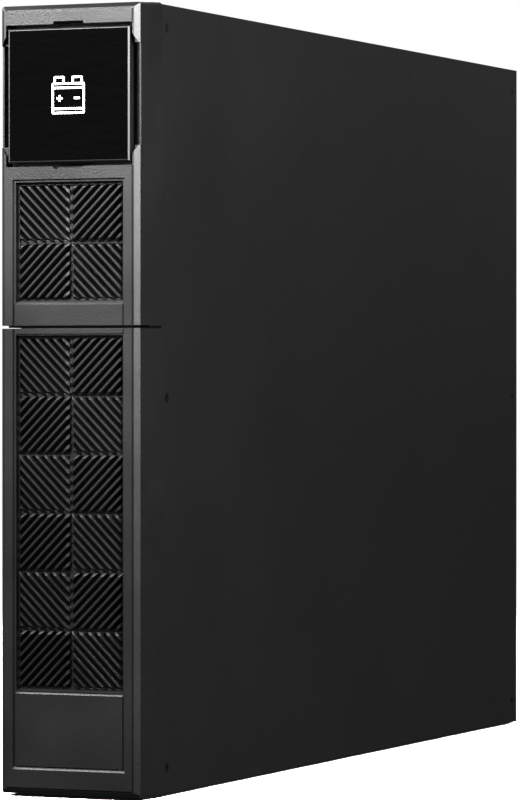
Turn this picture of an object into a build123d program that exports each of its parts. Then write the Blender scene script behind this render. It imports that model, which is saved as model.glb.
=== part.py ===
"""External battery cabinet of an uninterruptible power supply, 2U, standing as a tower.

Own frame: front towards -Y, +X to the right seen from the front, +Z up, millimetres.
The origin is the bottom centre of the whole object. Most places are given as a depth d
behind the front face, so y = front + d.
"""
from build123d import *
import math
import os

# ---------------------------------------------------------------- driving dimensions
# Bezel outline
bezel_height = 440.0
bezel_width = 88.0
bezel_depth = 28.3
bezel_draft = 1.7        # each side leans in this much from back to front
bezel_chamfer = 2.6
bezel_corner = 2.2
ledge = 1.1              # flat ledge between the chamfer and the proud front face
face_step = 0.8          # height of the proud front face above the ledge
bezel_wall = 2.4
face_wall = 3.8
split_gap = 1.6
split_skirt = 1.2        # step under the upper bezel that closes most of the gap to sight
end_wall = 2.0
door_room = 4.3          # air between the bezels' end walls and the steel case
split_inset = 0.6
running_gap = 0.3        # between pieces that move against each other

# Channel and bands of the front
channel_depth = 1.2
channel_margin = 1.4     # channel floor beside the grille opening
opening_margin = 0.35    # opening beside the outer tiles
band_rise = 0.7          # bands stand this much above the channel floor
band_chamfer = 1.3
pocket_band = 6.95       # from the plate's pocket down to the channel
channel_rise = 1.5       # channel floor above the upper grille
upper_band = 13.6        # from the upper grille down to the split
lower_band = 3.8         # from the lower bezel's top down to its grille
channel_bottom = 15.4
band_gap = 0.9           # between the lower grille and the narrow band above it
band_bevel = 0.4       # bevel of that narrow band

# Louvred grilles
tile = 32.45
tile_gap = 1.0
tile_chamfer = 1.6
ribs_per_tile = 6
rib_front = 1.25
rib_back = 2.1
rib_depth = 6.0
grille_sink = 0.5        # ribs start this far below the channel floor
grille_margin = 0.8      # from the outer tiles to the opening, top and bottom
grille_rim = 1.5
rim_overlap = 1.1
upper_rows = 2

# Blank nameplate
nameplate_bottom = 17.0
nameplate_least = 30.0   # rows of tiles stop where less than this would be left
nameplate_gap = 1.2      # to the lower grille
nameplate_thick = 1.0
nameplate_fit = 0.15

# Square plate that is pulled out and turned
plate_side = 74.3
plate_margin = 12.65     # from its pocket up to the top of the bezel
plate_gap = 2.1          # to the pocket, above and below
plate_bevel = 0.8
plate_skirt = 6.0
plate_wall = 2.0
plate_travel = 8.0
window_thick = 0.8
window_sink = 0.15
symbol_thick = 0.1
pry_slot_width = 18.4
pry_slot_depth = 1.5
notch_inset_inner = 3.15 # notch inside the plate's corners, at the pocket
notch_inset_outer = 8.95 # and at the side of the bezel
notch_depth = 4.3
notch_lip = 1.0          # thin lip left at the side of the bezel
pocket_depth = 8.0
housing_floor = 2.0
stem_radius = 6.0
guide_length = 4.0
guide_radius = 10.0
collar_radius = 8.2
collar_thick = 1.7

# Battery symbol
symbol_width = 20.0
symbol_body = 17.2
symbol_line = 1.1
sign_arm = 1.7           # half the length of the plus and minus strokes
symbol_gap = 2.0
terminal_width = 6.6
terminal_rise = 3.6

# Steel case
case_inset_z = 1.0       # case inside the bezel's outline, top and bottom
case_inset_x = 0.7
case_depth = 575.0
sheet = 1.2
countersink = sheet
rear_reach = 12.0        # how far the connectors stand out behind the rear panel

# Battery blocks, two high and three deep in each cassette
block_length = 151.0
block_width = 65.0
block_case = 88.0
block_lid = 6.0
tab_height = 6.0
tab_width = 6.35
tab_thick = 0.8
block_spacing = 1.5
tray_sheet = 1.0
foam = 3.0
tray_start = 12.0        # from the front panel back to the trays
door_margin = 0.4
strap_thick = 1.2
strap_half = 12.0
strap_reach = 6.0

# Small parts
stud_radius = 1.6
stud_boss = 2.6
grommet_wall = 1.0
grommet_rim = 0.8
stud_offset = 37.8
stud_reach = 8.0
stud_seat = 12.0         # how deep a stud sits in its boss
screw_radius = 1.5
screw_head = 2.9
relief = 0.1             # air round a grommet's rim
rack_hole = 2.0
rack_pitch_x = 50.0
rack_pitch_y = 35.0
rack_inset = 22.0        # first rack-ear hole behind the front of the case
nut_radius = 4.0
nut_thick = 3.0

# Doors, screws and tray details
door_lap = 3.0           # door over the bay's edge
door_slot_pitch = 12.0
door_slot_length = 9.0
door_slot_height = 3.4
door_screw_x = 22.0
door_head_thick = 1.8
pan_lip = 12.5
rear_lip = 15.0
recess_width = 0.7       # cross recess of a screw head
recess_length = 3.4
recess_depth = 0.9
cover_screw_front = 7.5  # rows of cover screws, from the ends of the case
cover_screw_rear = 9.0
rail_half = 8.0
block_round = 1.5
pad_margin = 8.0
rear_screw_x = 36.0
rear_screw_inset = 6.0

# Rear panel
switch_drop = 88.0       # middle of the switch under the top of the bezel
switch_width = 36.0
switch_length = 84.0
switch_depth = 62.0
nose_length = 45.0
nose_rise = 2.0
lever_hub = 9.0
lever_width = 22.0
lever_tilt = 40.0
connector_drop = 23.0    # from the switch down to the first connector
connector_gap = 16.0
connector_length = 50.0
connector_width = 20.0
connector_inner = 30.0
socket_length = 17.0
socket_width = 12.0
socket_depth = 24.0
port_drop = 28.0         # middle of the port under the top of the bezel
port_plate_drop = 12.0   # lower edge of its plate under the middle of the port
port_offset = -18.0
port_width = 16.0
port_tall = 13.6
port_depth = 18.0
port_lip = 0.6
earth_offset = 24.0
earth_drop = 19.0        # under the lowest connector
earth_radius = 2.5
earth_collar = 3.6
earth_hex = 4.6
earth_reach = 11.0      # stud's end behind the rear panel
earth_tail = 6.0
vent_clearance = 22.0    # from the top vent to the earth stud
vent_pitch = 7.0
vent_width = 3.0
vent_length = 56.0
vent_base = 30.0

# Wiring and board between the cassettes and the rear panel
rear_room = 90.0         # least depth kept behind the cassettes
board_stand = 6.0
board_thick = 1.6
board_low = 60.0
board_drop = 12.0        # board's top under the middle of the first connector
plug_x = -12.0
plug_half_x = 8.0
plug_half_z = 16.0
plug_length = 16.0
plug_stem = 2.0
socket_reach = 12.0
lead_pitch = 8.0         # poles either side of the middle of a plug
lead_radius = 2.0
lead_bend = 4.0
fuse_length = 38.0
fuse_radius = 5.15
fuse_cap = 10.0
fuse_stand = 8.0
lever_inset = 4.0        # lever's axis inside the rear panel's outer face

# ---------------------------------------------------------------- worked-out places
overall_depth = bezel_depth + running_gap + case_depth + rear_reach
front = -overall_depth / 2
case_height = bezel_height - 2 * case_inset_z
case_width = bezel_width - 2 * case_inset_x
case_front = bezel_depth + running_gap
case_rear = case_front + case_depth
end_wall_back = case_front - door_room
half_height = bezel_height / 2
case_low = (bezel_height - case_height) / 2
case_high = case_low + case_height
case_half = case_width / 2
chamfer_half = bezel_width / 2 - bezel_draft
ledge_half = chamfer_half - bezel_chamfer
face_half = ledge_half - ledge
face_low = bezel_width / 2 - face_half
side_start = face_step + bezel_chamfer
pocket_half = plate_side / 2 + plate_gap
plate_height = bezel_height - plate_margin - pocket_half
notch_half_inner = plate_side / 2 - notch_inset_inner
notch_half_outer = plate_side / 2 - notch_inset_outer
opening_half = tile + opening_margin
channel_half = opening_half + channel_margin
channel_top = plate_height - pocket_half - pocket_band
upper_grille_base = channel_top - channel_rise - 2 * grille_margin - upper_rows * tile
split_height = upper_grille_base - upper_band
upper_base = split_height + split_gap / 2
lower_top = split_height - split_gap / 2
lower_grille_top = lower_top - lower_band
lower_room = lower_grille_top - 2 * grille_margin - nameplate_bottom - nameplate_least
lower_rows = int(lower_room / tile)
lower_grille_base = lower_grille_top - 2 * grille_margin - lower_rows * tile
nameplate_top = lower_grille_base - nameplate_gap
rib_start = channel_depth + grille_sink
upper_opening = (upper_grille_base, channel_top - channel_rise)
lower_opening = (lower_grille_base, lower_grille_top)
pitch = tile / ribs_per_tile / math.sqrt(2)
band_front = channel_depth - band_rise
upper_studs = (upper_base + 8.0, channel_top + 3.4)
lower_studs = (lower_top - 12.0, 0.6 * lower_top, 40.0)
inner_half = case_half - sheet
inner_low = case_low + 2 * sheet
inner_high = case_high - 2 * sheet
divider_height = (inner_low + inner_high) / 2
tray_wrap = 2 * (tray_sheet + foam)
tray_room = case_depth - sheet - tray_start - rear_room - tray_wrap
blocks_deep = int((tray_room + block_spacing) / (block_length + block_spacing))
tray_depth = blocks_deep * (block_length + block_spacing) - block_spacing + tray_wrap
block_height = block_case + block_lid
level_height = block_height + tab_height + foam
bay_room = divider_height - sheet / 2 - inner_low - 2 * tray_sheet
blocks_high = int((bay_room + foam) / level_height)
tray_height = blocks_high * level_height - foam + 2 * tray_sheet
tray_half = block_width / 2 + tray_sheet
bay_half = tray_half + door_margin
tray_front = case_front + sheet + tray_start
bay_middles = ((inner_low + divider_height) / 2, (inner_high + divider_height) / 2)
rack_rows = (case_front + rack_inset, case_front + rack_inset + rack_pitch_y)
switch_height = bezel_height - switch_drop
switch_foot = switch_height - switch_length / 2
switch_back = case_rear - sheet - switch_depth
lever_axis = case_rear - lever_inset
port_height = bezel_height - port_drop
port_plate_low = port_height - port_plate_drop
first_connector = switch_foot - connector_drop - connector_length / 2
connector_heights = (first_connector, first_connector - connector_length - connector_gap)
earth_height = connector_heights[1] - connector_length / 2 - earth_drop
vent_slots = int((earth_height - vent_clearance - vent_base) / vent_pitch)
tray_rear = tray_front + tray_depth
board_x = -inner_half + board_stand
board_face = board_x + board_thick
board_start = tray_rear + 12.0
board_end = case_rear - sheet - 6.0
board_middle = (board_start + board_end) / 2
board_high = connector_heights[0] - board_drop
fuse_x = board_face + fuse_stand
fuse_height = (board_low + board_high) / 2 - 5.0
socket_start = tray_rear + plug_stem + plug_length
socket_end = socket_start + socket_reach
plug_heights = (bay_middles[0] + 30, switch_height - 20)


# ---------------------------------------------------------------- helpers
def slab(x0, x1, d0, d1, z0, z1):
    """A block between two corners, its depth measured from the front face."""
    size = Box(x1 - x0, d1 - d0, z1 - z0)
    return Pos((x0 + x1) / 2, front + (d0 + d1) / 2, (z0 + z1) / 2) * size


def rod(radius, d0, d1, x, z):
    """A round rod along the depth."""
    place = Pos(x, front + (d0 + d1) / 2, z) * Rot(90, 0, 0)
    return place * Cylinder(radius, d1 - d0)


def cross_rod(radius, x0, x1, d, z):
    """A round rod across the cabinet."""
    return Pos((x0 + x1) / 2, front + d, z) * Rot(0, 90, 0) * Cylinder(radius, x1 - x0)


def upright_rod(radius, x, d, z0, z1):
    """A round rod standing along the height."""
    return Pos(x, front + d, (z0 + z1) / 2) * Cylinder(radius, z1 - z0)


def outline(half_x, half_z, d, corner):
    """A rectangle across the depth, centred on the front, with rounded corners."""
    plane = Plane(origin=(0, front + d, half_height), x_dir=(1, 0, 0), z_dir=(0, -1, 0))
    shape = RectangleRounded(2 * half_x, 2 * half_z, corner)
    return plane * shape


def frustum(back, back_d, ahead, ahead_d, corners):
    """A block that narrows from its back outline to its front one."""
    low = outline(back, half_height - bezel_width / 2 + back, back_d, corners[0])
    high = outline(ahead, half_height - bezel_width / 2 + ahead, ahead_d, corners[1])
    return loft([low, high], ruled=True)


def wedge(points, x0, x1):
    """A prism across the cabinet from (depth, height) points."""
    corners = [(x0, front + d, z) for d, z in points]
    section = Face(Wire(Polyline(*corners, close=True).edges()))
    return extrude(section, x1 - x0, dir=(1, 0, 0))


def prism(points, d0, d1):
    """A prism along the depth from (x, height) points."""
    corners = [(x, front + d0, z) for x, z in points]
    section = Face(Wire(Polyline(*corners, close=True).edges()))
    return extrude(section, d1 - d0, dir=(0, 1, 0))


def join(pieces):
    """One node that holds several pieces, fused where they touch."""
    pieces = list(pieces)
    return pieces[0].fuse(*pieces[1:]) if len(pieces) > 1 else pieces[0]


def group(pieces):
    """One node that holds several separate solids."""
    solids = []
    for piece in pieces:
        solids.extend(piece.solids())
    return Compound(solids)


# ---------------------------------------------------------------- bezel mouldings
def bezel_blank():
    sides = frustum(bezel_width / 2, bezel_depth, chamfer_half, side_start,
                    (bezel_corner, bezel_corner - 0.6))
    chamfer = frustum(chamfer_half, side_start, ledge_half, face_step, (bezel_corner - 0.6, 0.5))
    face = slab(-face_half, face_half, 0, face_step + 1, face_low, bezel_height - face_low)
    return join([sides, chamfer, face])


def bezel_cavity(d0, z0, z1):
    """The hollow behind the front wall between two heights."""
    inner = frustum(bezel_width / 2 - bezel_wall, bezel_depth, chamfer_half - bezel_wall,
                    side_start, (1.0, 0.8))
    return inner & slab(-bezel_width, bezel_width, d0, bezel_depth + 1, z0, z1)


def stud_bosses(heights):
    return [rod(stud_boss, face_wall - 1, bezel_depth - 6, side * stud_offset, z)
            for z in heights for side in (-1, 1)]


def band(z0, z1, chamfer_top):
    """A raised band across the channel, its top edge bevelled."""
    rise = band_chamfer if chamfer_top else band_bevel
    points = [(band_front, z0), (band_front, z1 - rise), (band_front + rise, z1),
              (face_wall, z1), (face_wall, z0)]
    return wedge(points, -opening_half, opening_half)


def notch(side):
    """A finger notch that opens the pocket to the side of the bezel."""
    step = ledge_half - face_half + bezel_chamfer
    inner = face_half - 0.6
    points = [(inner, plate_height + notch_half_inner),
              (inner + step, plate_height + notch_half_outer),
              (bezel_width, plate_height + notch_half_outer),
              (bezel_width, plate_height - notch_half_outer),
              (inner + step, plate_height - notch_half_outer),
              (inner, plate_height - notch_half_inner)]
    points = [(side * x, z) for x, z in points]
    return prism(points, -1, notch_depth)


def upper_bezel():
    body = bezel_blank() & slab(-bezel_width, bezel_width, -1, bezel_depth + 1,
                                upper_base, bezel_height)
    deck = plate_height - pocket_half - 4.0
    body -= bezel_cavity(face_wall, upper_base - 1, deck)
    body -= bezel_cavity(pocket_depth, deck, bezel_height)
    body -= slab(-channel_half, channel_half, -1, channel_depth, upper_base - 1, channel_top)
    body -= slab(-opening_half, opening_half, -1, face_wall + 1, *upper_opening)
    body += band(upper_base, upper_opening[0], True)
    body -= slab(-face_half, face_half, -1, pocket_depth + 1,
                 plate_height - pocket_half, plate_height + pocket_half)
    for way in (-1, 1):
        edge = plate_height + way * pocket_half
        body -= slab(-pry_slot_width / 2, pry_slot_width / 2, -1, notch_depth,
                     min(edge, edge + way * pry_slot_depth), max(edge, edge + way * pry_slot_depth))
        body -= notch(way)
        edge, lip = sorted((way * face_half, way * (chamfer_half - notch_lip)))
        body -= slab(edge, lip, -1, pocket_depth + 0.2,
                     plate_height - notch_half_outer, plate_height + notch_half_outer)
    inside = face_half - split_inset
    floor = slab(-inside, inside, face_wall - 1, end_wall_back, upper_base - split_skirt,
                 upper_base + end_wall)
    return join([body, floor, *stud_bosses(upper_studs)])


def lower_bezel():
    body = bezel_blank() & slab(-bezel_width, bezel_width, -1, bezel_depth + 1, 0, lower_top)
    body -= bezel_cavity(face_wall, 0, lower_top + 1)
    lip = wedge([(-1, channel_bottom - 1), (channel_depth, channel_bottom + channel_depth),
                 (channel_depth, lower_top + 1), (-1, lower_top + 1)], -channel_half, channel_half)
    body -= lip
    body -= slab(-opening_half, opening_half, -1, face_wall + 1, *lower_opening)
    body += band(lower_opening[1] + band_gap, lower_top, False)
    body -= slab(-opening_half, opening_half, -1, channel_depth + nameplate_thick,
                 nameplate_bottom - nameplate_fit, nameplate_top + nameplate_fit)
    inside = face_half - split_inset
    roof = slab(-inside, inside, face_wall - 1, end_wall_back, lower_top - end_wall, lower_top)
    return join([body, roof, *stud_bosses(lower_studs)])


def blank_nameplate():
    ahead = band_front
    back = channel_depth + nameplate_thick
    rise = 0.8
    points = [(ahead, nameplate_bottom + 0.3), (ahead, nameplate_top - rise),
              (ahead + rise, nameplate_top), (back, nameplate_top), (back, nameplate_bottom),
              (ahead + 0.3, nameplate_bottom)]
    return wedge(points, -opening_half + nameplate_fit, opening_half - nameplate_fit)


# ---------------------------------------------------------------- louvred grilles
def rib_tile(way):
    """One square tile of slanting ribs, centred on x = 0, z = 0, bevelled at its edges."""
    half = (tile - tile_gap) / 2
    back_d = rib_start + rib_depth
    shoulder_d = rib_start + tile_chamfer
    plane = Plane(origin=(0, front + shoulder_d, 0), x_dir=(1, 0, 0), z_dir=(0, -1, 0))
    low = plane * Rectangle(2 * half, 2 * half)
    plane = Plane(origin=(0, front + rib_start, 0), x_dir=(1, 0, 0), z_dir=(0, -1, 0))
    high = plane * Rectangle(2 * (half - tile_chamfer), 2 * (half - tile_chamfer))
    cap = loft([low, high], ruled=True)
    block = join([cap, slab(-half, half, shoulder_d, back_d, -half, half)])
    ribs = []
    for k in range(1 - ribs_per_tile, ribs_per_tile):
        section = [(-rib_front / 2, rib_start), (rib_front / 2, rib_start),
                   (rib_back / 2, back_d), (-rib_back / 2, back_d)]
        corners = [(-tile, front + d, u) for u, d in section]
        bar = extrude(Face(Wire(Polyline(*corners, close=True).edges())), 2 * tile, dir=(1, 0, 0))
        ribs.append(Rot(0, -45 * way, 0) * Pos(0, 0, k * pitch) * bar)
    return group([rib & block for rib in ribs])


def grille(opening, rows):
    """Tiles that mirror each other from row to row, on a rim and mullions behind them."""
    z0, z1 = opening
    back = rib_start + rib_depth
    tiles = {way: rib_tile(way) for way in (-1, 1)}
    base = z0 + grille_margin
    parts = []
    for row in range(rows):
        for side in (-1, 1):
            way = side if (rows - row) % 2 else -side
            place = Pos(side * tile / 2, 0, base + (row + 0.5) * tile)
            parts.append(place * tiles[way])
    outer = opening_half + rim_overlap
    rim = slab(-outer, outer, face_wall, face_wall + grille_rim, z0 - rim_overlap, z1 + rim_overlap)
    rim -= slab(-tile + tile_gap, tile - tile_gap, face_wall - 1, back, base + tile_gap,
                base + rows * tile - tile_gap)
    mullions = [slab(-1.1, 1.1, face_wall + 1.0, back, base, base + rows * tile)]
    for row in range(1, rows):
        middle = base + row * tile
        mullions.append(slab(-tile + 0.5, tile - 0.5, face_wall + 1.0, back, middle - 1.1, middle + 1.1))
    solids = [s for part in parts for s in part.solids()]
    return rim.fuse(*mullions, *solids)


def upper_grille():
    return grille(upper_opening, upper_rows)


def lower_grille():
    return grille(lower_opening, lower_rows)


# ---------------------------------------------------------------- turning plate
def square_block(half, d0, d1):
    return slab(-half, half, d0, d1, plate_height - half, plate_height + half)


def plate_carrier():
    half = plate_side / 2
    plane = Plane(origin=(0, front + plate_bevel, plate_height), x_dir=(1, 0, 0), z_dir=(0, -1, 0))
    low = plane * Rectangle(2 * half, 2 * half)
    plane = Plane(origin=(0, front, plate_height), x_dir=(1, 0, 0), z_dir=(0, -1, 0))
    high = plane * Rectangle(2 * (half - plate_bevel), 2 * (half - plate_bevel))
    body = join([loft([low, high], ruled=True), square_block(half, plate_bevel, plate_skirt)])
    body -= square_block(half - plate_bevel - 0.25, -1, window_sink + window_thick)
    body -= square_block(half - plate_wall, window_sink + window_thick + plate_wall, plate_skirt + 1)
    return body


def plate_window():
    return square_block(plate_side / 2 - plate_bevel - 0.25, window_sink, window_sink + window_thick)


def symbol_frame(x0, x1, z0, z1, line):
    d0 = window_sink - symbol_thick
    outer = Pos((x0 + x1) / 2, 0, (z0 + z1) / 2) * Rot(90, 0, 0)
    ring = outer * extrude(RectangleRounded(x1 - x0, z1 - z0, line * 0.8), symbol_thick)
    hole = outer * extrude(RectangleRounded(x1 - x0 - 2 * line, z1 - z0 - 2 * line, 0.3), symbol_thick * 3,
                           both=True)
    ring -= hole
    shift = front + d0 + symbol_thick
    return Pos(0, shift, 0) * ring


def battery_symbol():
    """A storage-battery pictogram: a body with two terminals, a plus and a minus."""
    d0 = window_sink - symbol_thick
    half = symbol_width / 2
    foot = plate_height - (symbol_body + terminal_rise) / 2
    head = foot + symbol_body
    line = symbol_line

    def bar(x0, x1, z0, z1):
        return slab(x0, x1, d0, window_sink, z0, z1)

    strokes = [symbol_frame(-half, half, foot, head, line)]
    for z in (foot + line + symbol_gap * 0.6, head - 2 * line - symbol_gap * 0.6):
        strokes.append(bar(-half + line * 0.9, half - line * 0.9, z, z + line))
    for side in (-1, 1):
        middle = side * (half - terminal_width / 2 - 1.2)
        strokes.append(symbol_frame(middle - terminal_width / 2, middle + terminal_width / 2,
                                    head - line, head + terminal_rise, line))
    centre = foot + symbol_body / 2
    arm = sign_arm
    marks = [bar(-half + 3.0, -half + 3.0 + 2 * arm, centre - line / 2, centre + line / 2),
             bar(-half + 3.0 + arm - line / 2, -half + 3.0 + arm + line / 2, centre - arm, centre + arm)]
    minus = bar(half - 3.0 - 2 * arm, half - 3.0, centre - line / 2, centre + line / 2)
    return group([join(strokes), join(marks), minus])


def plate_stem():
    root = window_sink + window_thick + plate_wall
    tip = pocket_depth + housing_floor + guide_length + plate_travel + running_gap + collar_thick
    foot = rod(stem_radius + 6, root, root + 2.0, 0, plate_height)
    return join([foot, rod(stem_radius, root, tip, 0, plate_height)]) - rod(
        stem_radius - 2, root + 2, tip + 1, 0, plate_height)


def stem_collar():
    start = pocket_depth + housing_floor + guide_length + plate_travel + running_gap
    ring = rod(collar_radius, start, start + collar_thick, 0, plate_height)
    return ring - rod(stem_radius, start - 1, start + collar_thick + 1, 0, plate_height)


def plate_housing():
    half_x = chamfer_half - bezel_wall - 0.4
    half_z = pocket_half + 0.8
    floor = slab(-half_x, half_x, pocket_depth, pocket_depth + housing_floor,
                 plate_height - half_z, plate_height + half_z)
    back = pocket_depth + housing_floor + guide_length
    tube = rod(guide_radius, pocket_depth, back, 0, plate_height)
    body = join([floor, tube]) - rod(stem_radius + running_gap, pocket_depth - 1, back + 1, 0, plate_height)
    for side in (-1, 1):
        rib = slab(-0.8, 0.8, pocket_depth + housing_floor, back, plate_height + guide_radius - 1,
                   plate_height + half_z - 1)
        body += Pos(0, 0, plate_height) * Rot(0, 90 - 90 * side, 0) * Pos(0, 0, -plate_height) * rib
    return body


def studs(heights):
    """Headless steel studs pressed into the bezel's bosses."""
    start = bezel_depth - stud_seat
    end = case_front + sheet + stud_reach
    return group([rod(stud_radius, start, end, side * stud_offset, z)
                  for z in heights for side in (-1, 1)])


def drill_studs(body, heights):
    for z in heights:
        for side in (-1, 1):
            body = body - rod(stud_radius, bezel_depth - stud_seat, bezel_depth + 1, side * stud_offset, z)
    return body


def bezel_grommets():
    inner = stud_radius + running_gap
    outer = inner + grommet_wall
    rings = []
    for z in upper_studs + lower_studs:
        for side in (-1, 1):
            x = side * stud_offset
            ring = rod(outer, case_front, case_front + sheet + 3.0, x, z)
            lip = rod(outer + grommet_rim, case_front + sheet, case_front + sheet + 1.5, x, z)
            rings.append(join([ring, lip]) - rod(inner, case_front - 1, case_front + sheet + 4, x, z))
    return group(rings)


# ---------------------------------------------------------------- steel case
def rack_holes():
    """The four rack-ear holes on each narrow side of the case, near its front."""
    pieces = []
    for z in (case_low, case_high):
        for d in rack_rows:
            for x in (-rack_pitch_x / 2, rack_pitch_x / 2):
                pieces.append(upright_rod(rack_hole, x, d, z - 8, z + 8))
    return pieces


def cover_screw_places():
    """Depth and height of each countersunk cover screw on the broad side."""
    ahead, behind = case_front + cover_screw_front, case_rear - cover_screw_rear
    places = [(ahead, z) for z in (case_low + 15, half_height + 1, case_high - 13)]
    places += [(behind, z) for z in (case_low + 15, half_height, case_high - 15)]
    return places


def case_pan():
    base = slab(-case_half, -case_half + sheet, case_front, case_rear, case_low + sheet,
                case_high - sheet)
    low = slab(-case_half, inner_half, case_front, case_rear, case_low + sheet, inner_low)
    high = slab(-case_half, inner_half, case_front, case_rear, inner_high, case_high - sheet)
    lips = [slab(inner_half - sheet, inner_half, case_front, case_front + pan_lip, inner_low, inner_high),
            slab(inner_half - sheet, inner_half, case_rear - rear_lip, case_rear - sheet, inner_low,
                 inner_high)]
    body = join([base, low, high, *lips])
    body = body - rack_holes()
    for d, z in cover_screw_places():
        body = body - cross_rod(screw_radius, inner_half - 5, case_half + 5, d, z)
    return body - front_stud_relief()


def front_stud_relief():
    """Room for the bezel's studs and their grommets beside the pan's front lip."""
    return [rod(stud_radius + running_gap + grommet_wall + grommet_rim + relief,
                case_front - 1, case_front + sheet + 12,
                stud_offset, z) for z in upper_studs + lower_studs]


def case_cover():
    face = slab(inner_half, case_half, case_front, case_rear, case_low, case_high)
    low = slab(-case_half, case_half, case_front, case_rear, case_low, case_low + sheet)
    high = slab(-case_half, case_half, case_front, case_rear, case_high - sheet, case_high)
    body = join([face, low, high]) - rack_holes()
    for d, z in cover_screw_places():
        body = body - screw_solid(d, z)
    return body


def screw_solid(d, z):
    """A countersunk screw, its head level with the cover."""
    shank = cross_rod(screw_radius, inner_half - sheet - 0.5, case_half - countersink, d, z)
    turn = Pos(case_half - countersink / 2, front + d, z) * Rot(0, 90, 0)
    return join([shank, turn * Cone(screw_radius, screw_head, countersink)])


def cover_screws():
    """Countersunk cross-head screws."""
    screws = []
    for d, z in cover_screw_places():
        screw = screw_solid(d, z)
        for long_d, long_z in ((recess_length, recess_width), (recess_width, recess_length)):
            screw -= slab(case_half - recess_depth, case_half + 1, d - long_d / 2, d + long_d / 2,
                          z - long_z / 2, z + long_z / 2)
        screws.append(screw)
    return group(screws)


def rack_ear_nuts():
    """Clinch nuts behind the rack-ear holes."""
    nuts = []
    for z, way in ((inner_low, 1), (inner_high, -1)):
        for d in rack_rows:
            for x in (-rack_pitch_x / 2, rack_pitch_x / 2):
                z1 = z + way * nut_thick
                nuts.append(upright_rod(nut_radius, x, d, min(z, z1), max(z, z1))
                            - upright_rod(rack_hole, x, d, z - 8, z + 8))
    return group(nuts)


def front_panel():
    edge = inner_half - sheet
    body = slab(-inner_half, edge, case_front, case_front + sheet, inner_low, inner_high)
    for middle in bay_middles:
        body -= slab(-bay_half, bay_half, case_front - 1, case_front + sheet + 1,
                     middle - tray_height / 2 - door_margin, middle + tray_height / 2 + door_margin)
    for z in upper_studs + lower_studs:
        for side in (-1, 1):
            body = body - rod(stud_radius + running_gap + grommet_wall, case_front - 1,
                              case_front + sheet + 1, side * stud_offset, z)
    return body


def door_edges(middle):
    half = tray_height / 2 + door_margin
    return middle - half - door_lap, middle + half + door_lap


def door_screw_places(middle):
    z0, z1 = door_edges(middle)
    return [(x, z) for x in (-door_screw_x, door_screw_x) for z in (z0 + 1.6, z1 - 1.6)]


def battery_doors():
    """Perforated retaining doors in front of the battery bays."""
    doors = []
    back = case_front
    ahead = back - sheet
    for middle in bay_middles:
        z0, z1 = door_edges(middle)
        door = slab(-bay_half + 0.6, bay_half - 0.6, ahead, back, z0, z1)
        rows = int((z1 - z0 - 2.5 * door_slot_pitch) / door_slot_pitch)
        for row in range(rows):
            z = z0 + (row + 1.5) * door_slot_pitch
            for column in range(-2, 3):
                x = column * door_slot_pitch
                door -= slab(x - door_slot_length / 2, x + door_slot_length / 2, ahead - 1, back + 1,
                             z, z + door_slot_height)
        for x, z in door_screw_places(middle):
            door -= rod(screw_radius, ahead - 1, back + 1, x, z)
        doors.append(door)
    return group(doors)


def door_screws():
    screws = []
    for middle in bay_middles:
        for x, z in door_screw_places(middle):
            head = rod(screw_head - 0.4, case_front - sheet - door_head_thick,
                       case_front - sheet, x, z)
            shank = rod(screw_radius, case_front - sheet, case_front, x, z)
            screws.append(join([head, shank]))
    return group(screws)


def middle_divider():
    """Folded sheet that parts the two bays and ties base and cover."""
    d0 = case_front + sheet
    d1 = tray_rear + 8
    web = slab(-inner_half, inner_half, d0, d1, divider_height - sheet / 2, divider_height + sheet / 2)
    foot = slab(-inner_half, -inner_half + sheet, d0 + 6, d1, divider_height, divider_height + 12)
    cut = slab(inner_half - sheet - 1, inner_half + 1, d0 - 1, case_front + pan_lip,
               divider_height - sheet, divider_height + sheet)
    return join([web, foot]) - cut


def bay_rails():
    """Hat rails on the base that carry the battery trays."""
    rails = []
    for middle in bay_middles:
        for z in (middle - tray_height / 4, middle + tray_height / 4):
            top = -tray_half - tray_sheet
            rails.append(slab(-inner_half, top, tray_front, tray_rear, z - rail_half, z + rail_half)
                         - slab(-inner_half - 1, top - sheet, tray_front - 1,
                                tray_rear + 1, z - rail_half + sheet, z + rail_half - sheet))
    return group(rails)


# ---------------------------------------------------------------- battery cassettes
def battery_tray(middle):
    d1 = tray_rear
    z0 = middle - tray_height / 2
    z1 = middle + tray_height / 2
    base_x = -tray_half
    outer = slab(base_x - tray_sheet, tray_half, tray_front, d1, z0, z1)
    inner = slab(base_x, tray_half + 1, tray_front + tray_sheet, d1 - tray_sheet,
                 z0 + tray_sheet, z1 - tray_sheet)
    window = slab(0, tray_half + 1, d1 - tray_sheet - 1, d1 + 1, z0 + 30, z1 - 30)
    slots = [slab(x - 8, x - 4, tray_front - 1, tray_front + tray_sheet + 1, middle - 14, middle + 14)
             for x in (6.0, 22.0)]
    return outer - inner - window - slots


def block_places(middle):
    """Lowest corner depth and height of each battery block in a cassette."""
    places = []
    z0 = middle - tray_height / 2 + tray_sheet
    for level in range(blocks_high):
        for index in range(blocks_deep):
            d = tray_front + tray_sheet + foam + index * (block_length + block_spacing)
            places.append((d, z0 + level * level_height))
    return places


def battery_cases(middle):
    half = block_width / 2
    cases = []
    for d, z in block_places(middle):
        case = slab(-half, half, d, d + block_length, z, z + block_case)
        cases.append(fillet(case.edges().filter_by(Axis.Z), block_round))
    return group(cases)


def battery_lids(middle):
    half = block_width / 2
    lids = []
    for d, z in block_places(middle):
        base = z + block_case
        lid = slab(-half + 0.4, half - 0.4, d + 0.4, d + block_length - 0.4, base, base + block_lid)
        vent = slab(-half + 18, half - 18, d + 30, d + block_length - 30, base + block_lid - 1,
                    base + block_lid + 1)
        wells = [slab(-half + 9, -half + 25, d + x, d + x + 18, base + 1.5, base + block_lid + 1)
                 for x in (6, block_length - 24)]
        lids.append(lid - vent - wells)
    return group(lids)


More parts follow.
